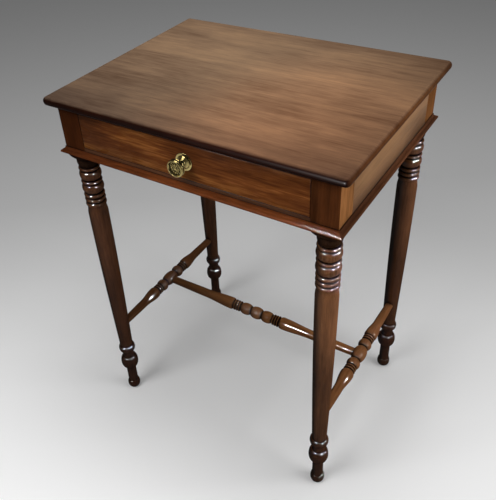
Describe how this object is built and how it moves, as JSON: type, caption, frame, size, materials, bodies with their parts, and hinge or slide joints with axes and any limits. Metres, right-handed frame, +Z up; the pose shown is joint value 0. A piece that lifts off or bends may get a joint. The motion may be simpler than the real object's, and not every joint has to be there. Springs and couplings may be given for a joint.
{
  "type": "tavern table",
  "caption": "Small mahogany side table with a frieze drawer, brass knob, ring-turned legs and a turned H-stretcher.",
  "frame": {"origin": "on the floor, at the middle of the plan of the whole table, knob included", "axes": "+Z up, +X along the length towards the right end, the drawer front faces -Y"},
  "size_m": [0.535, 0.4232, 0.72],
  "materials": {
    "top_wood": "satin French polish over mid-brown mahogany",
    "rail_wood": "satin French polish over figured mahogany",
    "turned_wood": "satin French polish over dark mahogany",
    "drawer_front_wood": "satin French polish over figured mahogany",
    "moulding_wood": "glossy red-brown mahogany",
    "inner_wood": "bare planed softwood",
    "knob_brass": "aged cast brass",
    "nut_steel": "dull steel"
  },
  "bodies": {
    "frame": {"top_board": "top_wood", "back_rail": "rail_wood", "lower_front_rail": "rail_wood", "upper_front_rail": "rail_wood", "glue_blocks": "inner_wood", "moulding_front": "moulding_wood", "moulding_back": "moulding_wood", "moulding_left": "moulding_wood", "moulding_right": "moulding_wood", "cross_stretcher": "turned_wood", "side_rail_left": "rail_wood", "side_rail_right": "rail_wood", "drawer_runner_left": "inner_wood", "drawer_runner_right": "inner_wood", "drawer_kicker_left": "inner_wood", "drawer_kicker_right": "inner_wood", "drawer_guide_left": "inner_wood", "drawer_guide_right": "inner_wood", "drawer_stop_left": "inner_wood", "drawer_stop_right": "inner_wood", "side_stretcher_left": "turned_wood", "side_stretcher_right": "turned_wood", "leg_front_left": "turned_wood", "leg_front_right": "turned_wood", "leg_back_left": "turned_wood", "leg_back_right": "turned_wood"},
    "drawer": {"drawer_front": "drawer_front_wood", "drawer_back": "inner_wood", "drawer_bottom": "inner_wood", "drawer_side_left": "inner_wood", "drawer_side_right": "inner_wood", "knob_rose": "knob_brass", "knob": "knob_brass", "knob_nut": "nut_steel"}
  },
  "joints": [
    {"name": "drawer_slide", "type": "slide", "parent": "frame", "child": "drawer", "axis": [0, -1, 0], "range_m": [0, 0.28]}
  ]
}
